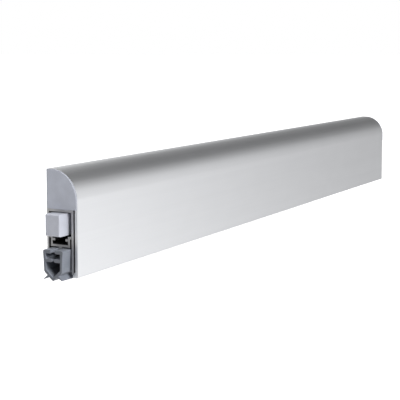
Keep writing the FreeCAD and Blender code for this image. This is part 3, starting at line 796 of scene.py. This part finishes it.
@dataclass
class EndCap(SubAssembly):
    """A moulded cap over the cover's open end, with a spigot that goes into the cover."""

    node: str
    side: int
    plate: float = 1.0
    edge: float = 0.22
    corner_ease: float = 0.2
    back_chamfer: float = 0.9
    cover_wall: float = 1.35
    flat_top: float = 3.2
    fit: float = 0.2
    spigot_wall: float = 1.4
    spigot_ease: float = 0.3
    arc_steps: int = 28

    def build(self) -> None:
        """Pull the plate outwards and the spigot inwards."""
        box = Box.of(self.node)
        depth, top, bottom = -box.low.y, box.high.z, box.low.z
        outer_x = box.low.x if self.side < 0 else box.high.x
        seat_x = outer_x - self.plate * self.side
        radius = depth - self.flat_top
        plate = [
            Corner(0.0, bottom, 0.0),
            Corner(depth, bottom, self.corner_ease, 2),
            Corner(depth, top, radius, self.arc_steps),
            Corner(0.0, top, 0.0),
        ]
        blank = Blank(self.node + "_moulding", CAP_PLASTIC)
        blank.pull([blank.outline(plate, seat_x)], self.plate * self.side)
        rim = blank.edges_at(outer_x)
        at_door = [edge for edge in rim if all(abs(vert.co.y) < TOUCH for vert in edge.verts)]
        blank.bevel(at_door, self.back_chamfer, 1)
        blank.bevel(blank.edges_at(outer_x), self.edge, 3)
        inside = depth - self.cover_wall - self.fit
        back = self.flat_top + self.fit
        spigot = [
            Corner(back, bottom + self.fit, self.spigot_ease, 2),
            Corner(inside, bottom + self.fit, self.spigot_ease, 2),
            Corner(inside, top - self.cover_wall - self.fit, inside - back, self.arc_steps // 2),
        ]
        face = blank.outline(spigot, seat_x)
        ring = bmesh.ops.inset_region(
            blank.bm, faces=[face], thickness=self.spigot_wall, use_even_offset=True
        )
        bmesh.ops.delete(blank.bm, geom=[face], context="FACES_ONLY")
        reach = box.span.x - self.plate
        blank.pull(ring["faces"], -reach * self.side)
        blank.done(Body.HOUSING, self.node)


@dataclass
class DropBar(SubAssembly):
    """The drop bar: a C section with guide ribs, a stem and a foot that holds the gasket."""

    side_wall: float = 1.1
    floor: float = 1.2
    lip: float = 1.2
    lip_reach: float = 1.4
    rib_height: float = 1.1
    rib_reach: float = 0.85
    groove: float = 1.6
    stem: float = 2.0
    foot: float = 1.2
    foot_width: float = 6.6
    ease: float = 0.14
    end_ease: float = 0.1
    # The drop bar's copy of the profile finish is this much darker: painted shade
    painted_shade_factor: float = 0.8

    def build(self) -> None:
        """Draw one half of the section, mirror it and pull it along the seal."""
        box = Box.of("drop_bar")
        middle = -box.middle.y
        rib_half = box.span.y / 2
        bar_half = rib_half - self.rib_reach
        groove_half = bar_half - self.side_wall
        lip_half = groove_half - self.lip_reach
        top = box.high.z
        rib_z = top - self.rib_height
        lip_z = rib_z - self.lip
        web_z = lip_z - self.groove
        floor_z = web_z - self.floor
        half = [
            (self.foot_width / 2, box.low.z),
            (self.foot_width / 2, box.low.z + self.foot),
            (self.stem / 2, box.low.z + self.foot),
            (self.stem / 2, floor_z),
            (bar_half, floor_z),
            (bar_half, rib_z),
            (rib_half, rib_z),
            (rib_half, top),
            (groove_half, top),
            (groove_half, rib_z),
            (lip_half, rib_z),
            (lip_half, lip_z),
            (groove_half, lip_z),
            (groove_half, web_z),
        ]
        corners = [Corner(middle + across, height, self.ease) for across, height in half]
        corners += [Corner(middle - across, height, self.ease) for across, height in reversed(half)]
        # The drop bar's finish carries painted shade inside its groove
        groove = Groove(middle, groove_half, web_z, lip_z)
        # Painted shade: the profile colour is darkened for the drop bar alone
        colour = shade(PROFILE_METAL.colour, self.painted_shade_factor)
        finish = replace(PROFILE_METAL, name="painted_shade_profile", colour=colour, groove=groove)
        blank = Blank("drop_bar_profile", finish)
        blank.pull([blank.outline(corners, box.low.x)], box.span.x)
        blank.bevel(blank.edges_at(box.low.x) + blank.edges_at(box.high.x), self.end_ease, 1)
        blank.done(Body.DROP_SEAL, "drop_bar")


@dataclass
class Gasket(SubAssembly):
    """The hollow rubber gasket: two chambers, lips between them, a pointed sole and two side fins."""

    top_wall: float = 1.6
    slot: float = 2.4
    side_wall: float = 1.65
    upper_chamber: float = 2.5
    lip: float = 1.5
    lip_gap: float = 1.2
    vee: float = 4.05
    sole: float = 1.55
    sole_ease: float = 0.3
    shoulder: float = 1.0
    taper: float = 0.65
    tip_half: float = 0.45
    tip_flat: float = 0.12
    tip_rise: float = 0.2
    fin_root: float = 2.3
    fin_base: float = 0.8
    fin_edge: float = 0.3
    fin_reach: float = 0.4
    corner_steps: int = 4
    end_ease: float = 0.08
    stations: int = 54
    ripple: float = 0.09
    ripple_top: float = 1.35
    ripple_lift: float = 1.5
    ripple_length: float = 31.0
    ripple_shift: float = 2.0
    short_ripple: float = 0.37
    short_share: float = 0.5

    def half_section(self, half_width: float, low: float, top: float) -> list[tuple[float, float, float]]:
        """One half of the section, from the sole's tip round to the lower chamber.

        Args:
            half_width: half of the gasket's width at its top.
            low: height of its sole.
            top: height of its top.

        Returns:
            Distance from the middle, height and rounding of each corner.
        """
        foot_half = half_width - self.taper
        chamber_half = half_width - self.side_wall
        roof = top - self.top_wall
        chamber_floor = roof - self.upper_chamber
        lip_bottom = chamber_floor - self.lip
        vee_z = low + self.vee
        tip_z = low + self.tip_rise
        slope = (vee_z - tip_z) / (foot_half - self.tip_half)
        fin_outer = self.fin_root + self.fin_base
        fin_tip = foot_half + self.fin_reach
        return [
            (self.tip_flat, low, 0.1),
            (self.tip_half, tip_z, 0.2),
            (self.fin_root, tip_z + slope * (self.fin_root - self.tip_half), 0.16),
            (fin_tip - self.fin_edge, tip_z, 0.1),
            (fin_tip, tip_z + self.fin_edge, 0.1),
            (fin_outer, tip_z + slope * (fin_outer - self.tip_half), 0.16),
            (foot_half, vee_z, 0.5),
            (half_width, top, 0.75),
            (self.slot / 2, top, 0.4),
            (self.slot / 2, roof, 0.3),
            (chamber_half, roof, 0.35),
            (chamber_half, chamber_floor, 0.35),
            (self.lip_gap / 2, chamber_floor, 0.6),
            (self.lip_gap / 2, lip_bottom, 0.6),
            (chamber_half, lip_bottom, 0.35),
            (chamber_half, vee_z + self.shoulder, 0.4),
        ]

    def build(self) -> None:
        """Draw the section, pull it, cut it into stations and let the fins ripple a little."""
        box = Box.of("gasket")
        middle = -box.middle.y
        low, top = box.low.z, box.high.z
        half = self.half_section(box.span.y / 2, low, top)
        steps = self.corner_steps
        corners = [Corner(middle + across, height, ease, steps) for across, height, ease in half]
        corners.append(Corner(middle, low + self.sole, self.sole_ease, steps - 1))
        corners += [Corner(middle - across, height, ease, steps) for across, height, ease in reversed(half)]
        blank = Blank("gasket_extrusion", GASKET_RUBBER)
        blank.pull([blank.outline(corners, box.low.x)], box.span.x)
        blank.bevel(blank.edges_at(box.low.x) + blank.edges_at(box.high.x), self.end_ease, 1)
        bmesh.ops.subdivide_edges(blank.bm, edges=blank.long_edges(), cuts=self.stations, use_grid_fill=True)
        fin_z = low + self.tip_rise + self.ripple_top
        for vert in blank.bm.verts:
            across = -vert.co.y - middle
            if abs(across) > self.fin_root + self.fin_base and vert.co.z < fin_z:
                share = (fin_z - vert.co.z) / (fin_z - low)
                turn = vert.co.x / self.ripple_length * math.tau
                wave = math.sin(turn + (self.ripple_shift if across > 0 else 0.0))
                wave += self.short_share * math.sin(turn / self.short_ripple)
                vert.co.z += self.ripple * share * (self.ripple_lift + wave)
        blank.done(Body.DROP_SEAL, "gasket")


@dataclass
class LeafSpring(SubAssembly):
    """A bowed steel strip that runs on into a rolled eye at each end."""

    node: str
    thickness: float = 0.5
    edge: float = 0.12
    bore: float = 0.85
    strip_steps: int = 64
    roll_steps: int = 18
    roll_turn: float = 318.0

    def section(self, blank: Blank, x: float, z: float, width: float, y: float) -> list[Any]:
        """Draw the strip's cross-section as a loop of edges, upright under an eye's middle.

        Args:
            blank: the piece.
            x: place along the seal.
            z: height of the strip's middle.
            width: the strip's width.
            y: the strip's middle across the seal.

        Returns:
            The loop's vertices and edges.
        """
        half_width, half = width / 2, self.thickness / 2
        places = [(-half_width, -half), (half_width, -half), (half_width, half), (-half_width, half)]
        verts = [blank.bm.verts.new((x, y + across, z + up)) for across, up in places]
        for vert, following in zip(verts, verts[1:] + verts[:1]):
            blank.bm.edges.new((vert, following))
        blank.bevel(verts, self.edge, 2, affect="VERTICES")
        return list(blank.bm.verts) + list(blank.bm.edges)

    @staticmethod
    def spin(blank: Blank, loop: list[Any], centre: Vector, angle: float, steps: int) -> list[Any]:
        """Sweep a loop round a line across the seal.

        Args:
            blank: the piece.
            loop: vertices and edges to sweep.
            centre: a point on the line.
            angle: how far, in radians.
            steps: in how many steps.

        Returns:
            The loop at the sweep's end.
        """
        made = bmesh.ops.spin(
            blank.bm, geom=loop, cent=centre, axis=(0.0, 1.0, 0.0), dvec=(0.0, 0.0, 0.0),
            angle=angle, steps=steps, use_merge=False, use_duplicate=False,
        )
        return [item for item in made["geom_last"] if not isinstance(item, BMFace)]

    def build(self) -> None:
        """Sweep the strip and roll both eyes."""
        box = Box.of(self.node)
        roll = self.bore + self.thickness / 2
        eye_radius = self.bore + self.thickness
        left = Vector((box.low.x + eye_radius, box.middle.y, box.high.z - eye_radius))
        right = Vector((box.high.x - eye_radius, box.middle.y, left.z))
        reach = (right.x - left.x) / 2
        drop = left.z - (box.low.z + self.thickness / 2)
        radius = (reach**2 + drop**2 - roll**2) / (2 * (drop - roll))
        centre = Vector(((left.x + right.x) / 2, left.y, left.z - drop + radius))
        lean = math.atan2(reach, centre.z - left.z)
        blank = Blank(self.node + "_strip", SPRING_METAL)
        first = self.section(blank, left.x, left.z - roll, box.span.y, left.y)
        verts = [item for item in first if isinstance(item, BMVert)]
        turn = Matrix.Rotation(math.radians(self.roll_turn) + lean, 3, "Y")
        bmesh.ops.rotate(blank.bm, verts=verts, cent=left, matrix=turn)
        last = self.spin(blank, first, left, -math.radians(self.roll_turn), self.roll_steps)
        last = self.spin(blank, last, centre, -2 * lean, self.strip_steps)
        self.spin(blank, last, right, -math.radians(self.roll_turn), self.roll_steps)
        bmesh.ops.holes_fill(blank.bm, edges=[edge for edge in blank.bm.edges if edge.is_boundary], sides=0)
        strip = blank.done(None, self.node)
        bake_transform(strip)


@dataclass
class AdjustingStud(SubAssembly):
    """The threaded stud between the plunger and the rod head."""

    pitch: float = 0.7
    thread_depth: float = 0.42
    crest_start: float = 0.42
    crest_end: float = 0.58
    spare_turns: int = 2
    steps: int = 14
    smooth_angle: float = 70.0

    def build(self) -> None:
        """Sweep one ridge along the stud and cut the sweep off at both ends."""
        box = Box.of("adjusting_stud")
        crest = box.span.z / 2
        root = crest - self.thread_depth
        axis = Vector((0.0, box.middle.y, box.middle.z))
        turns = math.ceil(box.span.x / self.pitch) + self.spare_turns
        start = box.low.x - self.pitch
        ridge = [(0.0, root), (self.crest_start, crest), (self.crest_end, crest), (1.0, root)]
        blank = Blank("threaded_stud", PLATED_METAL)
        verts = [blank.bm.verts.new((start + share * self.pitch, axis.y, axis.z + r)) for share, r in ridge]
        edges = [blank.bm.edges.new(pair) for pair in zip(verts, verts[1:])]
        bmesh.ops.spin(
            blank.bm, geom=verts + edges, cent=axis, axis=(1.0, 0.0, 0.0),
            dvec=(self.pitch / self.steps, 0.0, 0.0), angle=math.tau * turns,
            steps=self.steps * turns, use_merge=False, use_duplicate=False,
        )
        bmesh.ops.remove_doubles(blank.bm, verts=blank.bm.verts, dist=TOUCH)
        for x, outwards in ((box.low.x, -1.0), (box.high.x, 1.0)):
            geometry = list(blank.bm.verts) + list(blank.bm.edges) + list(blank.bm.faces)
            bmesh.ops.bisect_plane(
                blank.bm, geom=geometry, dist=WELD, plane_co=(x, 0.0, 0.0),
                plane_no=(outwards, 0.0, 0.0), clear_outer=True,
            )
        rims = [edge for edge in blank.bm.edges if edge.is_boundary]
        bmesh.ops.holes_fill(blank.bm, edges=rims, sides=0)
        blank.done(Body.TRIGGER, "adjusting_stud", smooth_angle=self.smooth_angle)


class FramePieces(SubAssembly):
    """The pieces whose shape in the frame is right, which only need their finish."""

    def build(self) -> None:
        """Dress each group in its own finish."""
        dress(PROFILE_METAL, "housing_channel")
        dress(PLUNGER_PLASTIC, "plunger")
        dress(GUIDE_PLASTIC, "plunger_guide", "rod_guide", "spring_shoe_a", "spring_shoe_b")
        anchors = [f"{kind}_anchor_{key}" for kind in ("fixed", "sliding") for key in "ab"]
        dress(PLATED_METAL, *anchors, "fixed_anchor_pins", "sliding_anchor_pins")
        dress(PLATED_METAL, "lock_nut", "rod_head", "push_rod")
        dress(RIVET_METAL, "web_rivets", "rod_rivets", "shoe_rivets")


@dataclass(frozen=True)
class Card:
    """A soft card in the studio: its direction, its spread, and what share of the light it adds or takes.

    The angles are in degrees from its middle: its share is whole inside `inner` and gone outside `outer`.
    """

    heading: float
    elevation: float
    inner: float
    outer: float
    change: float

    def share(self, nodes: Nodes, direction: NodeSocket) -> Field:
        """The share of the room's light that is left in a direction.

        Args:
            nodes: the studio's tree.
            direction: the direction that is looked in.

        Returns:
            1 away from the card, and 1 plus the card's change at its middle.
        """
        heading, elevation = math.radians(self.heading), math.radians(self.elevation)
        flat = math.cos(elevation)
        middle = (flat * math.cos(heading), flat * math.sin(heading), math.sin(elevation))
        dot = nodes.add("ShaderNodeVectorMath", {"operation": "DOT_PRODUCT"}, {0: direction, 1: middle})
        near = Field(nodes, dot.outputs["Value"])
        low, high = math.cos(math.radians(self.outer)), math.cos(math.radians(self.inner))
        return 1 + near.rise(low, high) * self.change


@dataclass(frozen=True)
class Lamp:
    """A square soft light, in metres and watts."""

    name: str
    place: Triple
    aim: Triple
    side: float
    power: float

    def build(self) -> None:
        """Hang the light and aim it."""
        data = bpy.data.lights.new(self.name, "AREA")
        data.size = self.side
        data.energy = self.power
        lamp = bpy.data.objects.new(self.name, data)
        bpy.context.scene.collection.objects.link(lamp)
        lamp.location = self.place
        lamp.rotation_mode = "QUATERNION"
        lamp.rotation_quaternion = (Vector(self.aim) - lamp.location).to_track_quat("-Z", "Y")


@dataclass
class Studio:
    """A pale floor, soft light with its cards and lamps, and the camera at the photograph's place."""

    floor_gap: float = 0.03
    floor_side: float = 30.0
    floor_dark: Colour = (0.93, 0.93, 0.93)
    floor_light: Colour = (0.96, 0.96, 0.96)
    floor_roughness: float = 0.9
    floor_glow: float = 0.68
    brightness: float = 0.92
    glow: float = 0.5
    glow_depth: float = 0.26
    camera_place: Triple = (-0.60144, -0.29742, 0.1046)
    camera_heading: float = 28.896
    camera_pitch: float = 3.952
    lens: float = 94.87
    shift: float = -0.2
    near_clip: float = 0.01
    cards: tuple[Card, ...] = (
        Card(5.0, 37.5, 10.0, 49.0, -0.88),
        Card(-2.0, -8.0, 10.0, 37.0, -0.78),
        Card(5.0, -38.0, 6.0, 26.0, -0.7),
        Card(-13.0, 12.0, 3.0, 16.0, -0.15),
        Card(13.0, 14.0, 3.0, 16.0, 0.25),
        Card(-95.0, -6.0, 20.0, 48.0, -0.5),
        Card(-95.0, 62.0, 14.0, 38.0, -0.5),
        Card(90.0, 45.0, 16.0, 44.0, -0.5),
        Card(190.0, 10.0, 30.0, 85.0, -0.8),
        Card(145.0, -6.0, 6.0, 26.0, 0.45),
    )
    lamps: tuple[Lamp, ...] = (
        Lamp("key_light", (-0.78, -1.66, 1.2), (-0.2, 0.0, 0.02), 0.8, 50.0),
        Lamp("top_light", (0.25, 0.5, 1.8), (0.0, 0.0, 0.0), 1.6, 14.0),
    )

    def light_room(self) -> None:
        """Make the room bright, brighter below and changed by the cards. The camera sees it white."""
        room = bpy.data.worlds.new("studio")
        bpy.context.scene.world = room
        room.use_nodes = True
        nodes = Nodes(room.node_tree)
        direction = nodes.add("ShaderNodeTexCoord").outputs["Generated"]
        height = Field(nodes, nodes.add("ShaderNodeSeparateXYZ", {}, {0: direction}).outputs["Z"])
        light = (1 + (0 - height).rise(0.0, self.glow_depth) * self.glow) * self.brightness
        for card in self.cards:
            light = light * card.share(nodes, direction)
        lit = nodes.add("ShaderNodeBackground", {}, {"Color": WHITE, "Strength": light})
        plain = nodes.add("ShaderNodeBackground", {}, {"Color": WHITE, "Strength": 1.0})
        seen = nodes.add("ShaderNodeLightPath").outputs["Is Camera Ray"]
        both = nodes.add("ShaderNodeMixShader", {}, {0: seen, 1: lit.outputs[0], 2: plain.outputs[0]})
        nodes.add("ShaderNodeOutputWorld", {}, {"Surface": both.outputs[0]})

    def lay_floor(self) -> None:
        """Lay a wide pale floor below the dropped gasket, seen by the camera alone."""
        height = CAD_BOX[0].z - self.floor_gap
        bm = bmesh.new()
        bmesh.ops.create_grid(bm, x_segments=2, y_segments=2, size=self.floor_side / 2)
        bmesh.ops.translate(bm, vec=(0.0, 0.0, height), verts=bm.verts)
        mesh = bpy.data.meshes.new("floor")
        bm.to_mesh(mesh)
        bm.free()
        paint = bpy.data.materials.new("pale_floor")
        paint.use_nodes = True
        nodes = Nodes(paint.node_tree)
        clouds = nodes.noise(FLOOR_CLOUDS)
        sockets = {
            "Base Color": nodes.tint(clouds, self.floor_dark, self.floor_light),
            "Roughness": self.floor_roughness,
            "Emission Color": WHITE,
            "Emission Strength": self.floor_glow,
        }
        shader = nodes.add("ShaderNodeBsdfPrincipled", {}, sockets)
        nodes.add("ShaderNodeOutputMaterial", {}, {"Surface": shader.outputs[0]})
        mesh.materials.append(paint)
        floor = bpy.data.objects.new("floor", mesh)
        bpy.context.scene.collection.objects.link(floor)
        floor.visible_glossy = False
        floor.visible_diffuse = False
        floor.visible_shadow = False

    def stand_camera(self) -> None:
        """Stand the camera where the photograph was taken."""
        data = bpy.data.cameras.new("camera")
        data.lens = self.lens
        data.shift_y = self.shift
        data.clip_start = self.near_clip
        camera = bpy.data.objects.new("camera", data)
        bpy.context.scene.collection.objects.link(camera)
        heading, pitch = math.radians(self.camera_heading), math.radians(self.camera_pitch)
        flat = math.cos(pitch)
        look = Vector((flat * math.cos(heading), flat * math.sin(heading), -math.sin(pitch)))
        camera.location = self.camera_place
        camera.rotation_mode = "QUATERNION"
        camera.rotation_quaternion = look.to_track_quat("-Z", "Y")
        bpy.context.scene.camera = camera

    def build(self) -> None:
        """Set up the room, the floor, the lamps and the camera."""
        bpy.context.scene.view_settings.view_transform = "Standard"
        self.stand_camera()
        self.light_room()
        self.lay_floor()
        for lamp in self.lamps:
            lamp.build()


def main() -> None:
    """Build the studio and every sub-assembly in order."""
    logging.basicConfig(level=logging.INFO, format="%(message)s")
    Studio().build()
    parts: list[SubAssembly] = [
        Cover(),
        EndCap("end_cap_trigger_side", -1),
        EndCap("end_cap_lock_side", 1),
        DropBar(),
        Gasket(),
        AdjustingStud(),
        LeafSpring("leaf_spring_a"),
        LeafSpring("leaf_spring_b"),
        FramePieces(),
    ]
    for part in parts:
        part.build()
        LOG.info("%s is in place", type(part).__name__)


if __name__ == "__main__":
    main()
